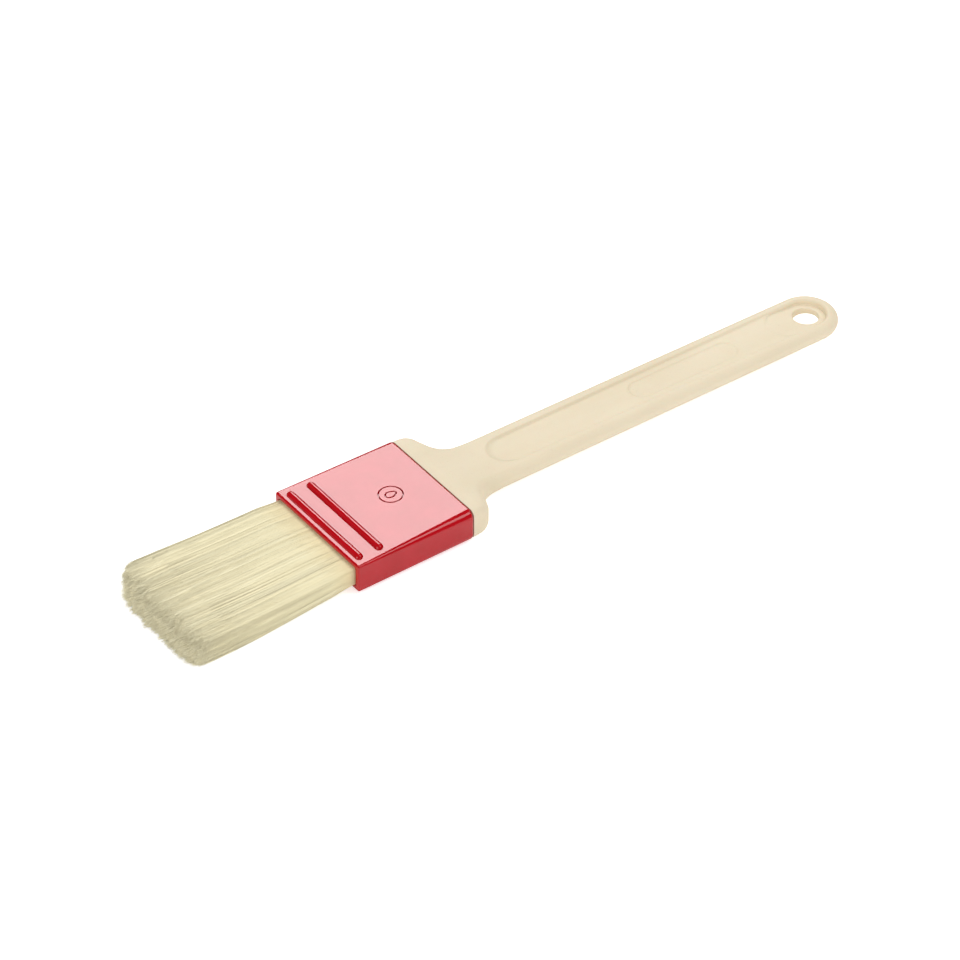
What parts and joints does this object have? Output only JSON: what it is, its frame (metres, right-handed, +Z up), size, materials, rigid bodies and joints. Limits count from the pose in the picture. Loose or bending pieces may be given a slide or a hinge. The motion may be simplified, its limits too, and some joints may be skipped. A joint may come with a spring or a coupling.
{
  "type": "flat pastry brush",
  "caption": "Flat pastry brush with a long plastic handle, a ribbed flat ferrule and a pack of pale natural bristles.",
  "frame": {"origin": "under the middle of the brush's length and width, on the level of its lowest rib, where it lies on a surface", "axes": "+X along the brush from the bristle tips to the hanging hole, +Y across its width, +Z up through its thickness"},
  "size_m": [0.2458, 0.042, 0.0118],
  "materials": {
    "handle_plastic": "cream moulded plastic, satin",
    "ferrule_plastic": "glossy red moulded plastic",
    "bristle": "pale natural hog bristle, softly shiny",
    "spacer_plastic": "plain plastic strip, hidden",
    "resin": "cast amber setting resin, hidden"
  },
  "bodies": {
    "root": {"handle": "handle_plastic", "ferrule": "ferrule_plastic", "bristle_row_upper": "bristle", "bristle_row_lower": "bristle", "spacer_strip": "spacer_plastic", "resin_block": "resin"}
  },
  "joints": []
}
